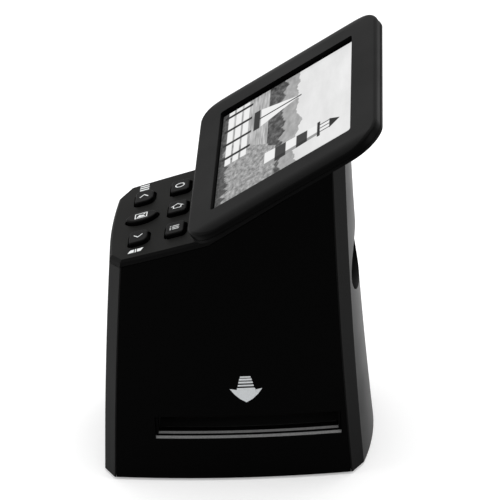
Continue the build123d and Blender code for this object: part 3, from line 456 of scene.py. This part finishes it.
    # The dark near shore, with a white fence on the left half of it.
    shore = clouded(0.06, 0.34, 8, 0, 7)
    seen = paint(seen, clouded(0.30, 0.5, 40, 40), under(shore, v, 0.01))
    for rail in (0.045, 0.105, 0.165):
        seen = paint(seen, 0.93, both(under(fence_end, h), between(rail, rail + 0.045)))
    for post in (0.05, 0.20, 0.35, 0.50):
        seen = paint(seen, 0.10, both(near(post, 0.012), between(0.02, 0.235)))
    # The panel's own black and white, turned to light.
    held = add(tree, "ShaderNodeClamp", {"Value": seen, "Min": 0.03, "Max": 0.92}).outputs[0]
    lit = add(tree, "ShaderNodeMath", {0: held, 1: 2.2}, operation="POWER").outputs[0]
    plug(tree, shader, {"Base Color": srgb("#050505"), "Roughness": 0.2,
                        "Specular IOR Level": 0.03, "Emission Color": lit,
                        "Emission Strength": 1.0})
    return material


corner = screen_corner + screen_up * lit_low - screen_out * lit_depth
points = [corner + rightward * (side * lit_width / 2) + screen_up * (top * lit_height)
          for side, top in ((-1, 0), (1, 0), (1, 1), (-1, 1))]
data = bpy.data.meshes.new("lcd_picture")
data.from_pydata(points, [], [(0, 1, 2, 3)])
data.materials.append(picture_material())
lcd_picture = bpy.data.objects.new("lcd_picture", data)
bpy.context.scene.collection.objects.link(lcd_picture)
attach(lcd_picture, "screen")

# ---------------------------------------------------------------- rubber
# Four feet let into the base, and two pads that the screen comes to rest over.
# Moulded rubber: dead matt and faintly grey with dust.
dress(moulded("black_rubber", "#1c1b1a", 0.8, 0.2, 0.02, 0.2), "rubber_feet", "bed_pads")

# ---------------------------------------------------------------- metal
# Screws, hinge pins, the socket shells and the screen's tray: plated or plain sheet steel.


def brushed(name, colour, rough, grain):
    """Worked metal: fine streaks in how it shines, and a slight tint."""
    material, tree, shader = start(name)
    place = add(tree, "ShaderNodeTexCoord").outputs["Object"]
    stretched = add(tree, "ShaderNodeMapping", {"Vector": place, "Scale": (0.08, 1.0, 1.0)})
    streak = add(tree, "ShaderNodeTexNoise", {"Vector": stretched.outputs[0],
                                              "Scale": per_mm(grain),
                                              "Detail": 4.0}).outputs["Fac"]
    bump = add(tree, "ShaderNodeBump", {"Height": streak, "Strength": 0.4, "Distance": 0.00001})
    gloss = add(tree, "ShaderNodeMapRange", {"Value": streak, **middle, "To Min": rough - 0.08,
                                             "To Max": rough + 0.1}).outputs["Result"]
    plug(tree, shader, {"Base Color": srgb(colour), "Metallic": 1.0,
                        "Roughness": gloss,
                        "Normal": bump.outputs["Normal"]})
    return material


dress(brushed("black_zinc_screw_steel", "#4a4946", 0.35, 0.4), "base_screws", "screen_screws",
      "guide_screws", "board_screws", "keypad_screws")
dress(brushed("nickel_plated_steel", "#b9b6ad", 0.28, 0.3), "hinge_pins", "usb_socket",
      "hdmi_socket", "card_socket")
dress(brushed("galvanised_tray_steel", "#a9abab", 0.4, 0.8), "lcd_backlight")

# ---------------------------------------------------------------- film channel and optics
# Matt black mouldings that must not glare, round a white light box and two coated lenses.
dress(moulded("matt_black_baffle", "#0c0c0c", 0.75, 0.25, 0.03, 0.15), "film_guide_lower",
      "optics_tower", "lens_shroud")
dress(moulded("black_anodised_barrel", "#0e0e10", 0.35, 0.15, 0.01, 0.5), "lens_barrel")
dress(moulded("white_reflector_abs", "#e9e9e4", 0.5, 0.5, 0.01, 0.4), "light_box")
dress(moulded("opal_acrylic", "#f1f1ec", 0.3, 2.0, 0.004, 0.5), "light_diffuser")
dress(moulded("led_package", "#e6dfa0", 0.4, 0.3, 0.01, 0.5), "backlight_leds")
dress(moulded("acetal_washer", "#d8d6cf", 0.45, 0.5, 0.01, 0.4), "hinge_washers")

glass, tree, shader = start("coated_lens_glass")
facing = add(tree, "ShaderNodeLayerWeight", {"Blend": 0.4}).outputs["Facing"]
coat = add(tree, "ShaderNodeMix", {"Factor": facing, "A": srgb("#f4f6ff"), "B": srgb("#b9a6e0")},
           data_type="RGBA")
plug(tree, shader, {"Base Color": coat.outputs[2], "Transmission Weight": 1.0,
                    "Roughness": 0.02, "IOR": 1.52})
dress(glass, "front_lens", "rear_lens")

# ---------------------------------------------------------------- circuit boards
# Green glass-epoxy boards under solder mask, which shows the copper tracks as lighter ridges.
board, tree, shader = start("green_solder_mask_board")
place = add(tree, "ShaderNodeTexCoord").outputs["Object"]
tracks = add(tree, "ShaderNodeTexBrick", {"Vector": place, "Scale": per_mm(3.0),
                                          "Color1": srgb("#0f4a26"), "Color2": srgb("#0c3e20"),
                                          "Mortar": srgb("#1d6b3a"), "Mortar Size": 0.03,
                                          "Brick Width": 1.7, "Row Height": 0.35})
bump = add(tree, "ShaderNodeBump", {"Height": tracks.outputs["Fac"], "Strength": 0.5,
                                    "Distance": 0.00003})
plug(tree, shader, {"Base Color": tracks.outputs["Color"], "Roughness": 0.3,
                    "Normal": bump.outputs["Normal"]})
dress(board, "main_board", "led_board", "keypad_board", "screen_board")


def part_rows():
    """Geometry Nodes: a board's small parts, on a grid with gaps, each turned one of two ways."""
    tree = bpy.data.node_groups.new("board_part_rows", "GeometryNodeTree")
    face = tree.interface
    sockets = {}
    for label, kind in (("Width", "Float"), ("Depth", "Float"), ("Across", "Int"),
                        ("Along", "Int"), ("Part Size", "Vector"), ("Filled", "Float"),
                        ("Seed", "Int"), ("Material", "Material")):
        sockets[label] = face.new_socket(label, in_out="INPUT", socket_type="NodeSocket" + kind)
    face.new_socket("Geometry", in_out="OUTPUT", socket_type="NodeSocketGeometry")
    given = add(tree, "NodeGroupInput").outputs
    grid = add(tree, "GeometryNodeMeshGrid",
               {"Size X": given["Width"], "Size Y": given["Depth"],
                "Vertices X": given["Across"], "Vertices Y": given["Along"]})
    keep = add(tree, "FunctionNodeRandomValue",
               {"Probability": given["Filled"], "Seed": given["Seed"]}, data_type="BOOLEAN")
    turn = add(tree, "FunctionNodeRandomValue",
               {"Min": 0, "Max": 1, "Seed": given["Seed"]}, data_type="INT")
    quarter = add(tree, "ShaderNodeMath", {0: turn.outputs[2], 1: pi / 2}, operation="MULTIPLY")
    about = add(tree, "ShaderNodeCombineXYZ", {2: quarter.outputs[0]})
    half = add(tree, "ShaderNodeVectorMath", {0: given["Part Size"], 1: (0, 0, 0.5)},
               operation="MULTIPLY")
    box = add(tree, "GeometryNodeMeshCube", {"Size": given["Part Size"]})
    raised = add(tree, "GeometryNodeTransform",
                 {"Geometry": box.outputs["Mesh"], "Translation": half.outputs[0]})
    placed = add(tree, "GeometryNodeInstanceOnPoints",
                 {"Points": grid.outputs["Mesh"], "Selection": keep.outputs[3],
                  "Instance": raised.outputs["Geometry"], "Rotation": about.outputs[0]})
    solid = add(tree, "GeometryNodeRealizeInstances", {0: placed.outputs[0]})
    shown = add(tree, "GeometryNodeSetMaterial",
                {"Geometry": solid.outputs[0], "Material": given["Material"]})
    add(tree, "NodeGroupOutput", {"Geometry": shown.outputs[0]})
    return tree, {label: socket.identifier for label, socket in sockets.items()}


rows_tree, rows_inputs = part_rows()


def small_parts(name, centre, right, up, body, **values):
    """A field of small parts, standing on a board at centre, as a plain mesh that rides body."""
    holder = bpy.data.objects.new(name + "_holder", bpy.data.meshes.new(name + "_holder"))
    bpy.context.scene.collection.objects.link(holder)
    rows_modifier = holder.modifiers.new("rows", "NODES")
    rows_modifier.node_group = rows_tree
    for label, value in values.items():
        rows_modifier[rows_inputs[label.replace("_", " ")]] = value
    graph = bpy.context.evaluated_depsgraph_get()
    mesh = bpy.data.meshes.new_from_object(holder.evaluated_get(graph))
    bpy.data.objects.remove(holder)
    out = right.cross(up)
    mesh.transform(Matrix((
        (right.x, up.x, out.x, centre.x),
        (right.y, up.y, out.y, centre.y),
        (right.z, up.z, out.z, centre.z),
        (0, 0, 0, 1),
    )))
    mesh.name = name
    piece = bpy.data.objects.new(name, mesh)
    bpy.context.scene.collection.objects.link(piece)
    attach(piece, body)


ceramic = moulded("brown_ceramic_capacitor", "#8a7258", 0.45, 0.2, 0.004, 0.5)
chip_size = (0.0016, 0.0008, 0.0007)
small_parts("main_board_parts", Vector((0, -0.0161, 0.0702)), rightward, Vector((0, 1, 0)),
            "housing", Width=0.034, Depth=0.0022, Across=15, Along=2, Part_Size=chip_size,
            Filled=0.8, Seed=3, Material=ceramic)
small_parts("keypad_board_parts", panel_corner + panel_up * 0.018 - panel_out * 0.00735,
            -rightward, panel_up, "housing", Width=0.032, Depth=0.006, Across=12, Along=3,
            Part_Size=chip_size, Filled=0.6, Seed=5, Material=ceramic)
small_parts("screen_board_parts", screen_corner + screen_up * 0.041 - screen_out * 0.00655,
            -rightward, screen_up, "screen", Width=0.040, Depth=0.022, Across=14, Along=7,
            Part_Size=chip_size, Filled=0.55, Seed=8, Material=ceramic)
dress(moulded("black_epoxy_chip", "#161617", 0.55, 0.2, 0.01, 0.4), "board_chips", "tact_switches",
      "image_sensor")
dress(moulded("amber_polyimide", "#9a5a17", 0.3, 1.0, 0.005, 0.5), "screen_ribbon")

# ---------------------------------------------------------------- floor, light and camera
# A plain pale sheet under soft studio light; the background is white and the sheet keeps the
# shadow of the tower.
floor_half = 3.0
data = bpy.data.meshes.new("floor")
data.from_pydata([(-floor_half, -floor_half, 0), (floor_half, -floor_half, 0),
                  (floor_half, floor_half, 0), (-floor_half, floor_half, 0)], [], [(0, 1, 2, 3)])
pale, tree, shader = start("pale_paper_floor")
plug(tree, shader, {"Base Color": srgb("#f2f2f2"), "Roughness": 0.9, "Specular IOR Level": 0.0})
rays = add(tree, "ShaderNodeLightPath")
floor_lift = 0.3            # brings the sheet up to white for the camera, and keeps its shadow
shows = add(tree, "ShaderNodeMath", {0: rays.outputs["Is Camera Ray"], 1: floor_lift},
            operation="MULTIPLY").outputs[0]
plug(tree, shader, {"Emission Color": srgb("#ffffff"), "Emission Strength": shows})
data.materials.append(pale)
floor = bpy.data.objects.new("floor", data)
bpy.context.scene.collection.objects.link(floor)

world = bpy.data.worlds.new("studio")
bpy.context.scene.world = world
world.use_nodes = True
tree = world.node_tree
rays = add(tree, "ShaderNodeLightPath")
seen = add(tree, "ShaderNodeMath", {0: rays.outputs["Is Camera Ray"],
                                    1: rays.outputs["Is Glossy Ray"]}, operation="MAXIMUM")
seen = add(tree, "ShaderNodeMath", {0: seen.outputs[0],
                                    1: rays.outputs["Is Transmission Ray"]}, operation="MAXIMUM")
room_light = 0.62           # the room's share of the light; the camera sees it as plain white
level = add(tree, "ShaderNodeMapRange", {"Value": seen.outputs[0], "To Min": room_light,
                                         "To Max": 1.0}).outputs["Result"]
back = tree.nodes["Background"]
back.inputs["Color"].default_value = srgb("#ffffff")
tree.links.new(level, back.inputs["Strength"])


def softbox(name, place, aim, size, watts):
    data = bpy.data.lights.new(name, "AREA")
    data.shape = "RECTANGLE"
    data.size, data.size_y = size
    data.energy = watts
    lamp = bpy.data.objects.new(name, data)
    bpy.context.scene.collection.objects.link(lamp)
    lamp.location = place
    lamp.rotation_euler = (Vector(aim) - Vector(place)).to_track_quat("-Z", "Y").to_euler()


softbox("top_box", (-0.15, 0.05, 0.9), (0, 0, 0.08), (0.8, 0.8), 4.0)
softbox("front_box", (0.1, -0.9, 0.35), (0, 0, 0.07), (0.5, 0.7), 2.0)
softbox("back_box", (0.2, 0.9, 0.4), (0, 0, 0.07), (0.5, 0.7), 2.5)

# Camera fitted to the photo's straight edges: a long lens from the object's right, above it.
look_turn, look_rise, look_roll = 0.069, 0.503, -0.061
look_far = 0.9819
look_at = Vector((0, 0.003566, 0.07265))
toward = Vector((cos(look_rise) * cos(look_turn), cos(look_rise) * sin(look_turn),
                 sin(look_rise)))
level_right = Vector((-sin(look_turn), cos(look_turn), 0))
level_up = toward.cross(level_right)
right = level_right * cos(look_roll) + level_up * sin(look_roll)
up = toward.cross(right)
data = bpy.data.cameras.new("camera")
data.lens = 203.9
data.sensor_width = 36.0
camera = bpy.data.objects.new("camera", data)
bpy.context.scene.collection.objects.link(camera)
place = look_at + toward * look_far
camera.matrix_world = Matrix((
    (right.x, up.x, toward.x, place.x),
    (right.y, up.y, toward.y, place.y),
    (right.z, up.z, toward.z, place.z),
    (0, 0, 0, 1),
))
bpy.context.scene.camera = camera
bpy.context.scene.view_settings.view_transform = "Standard"
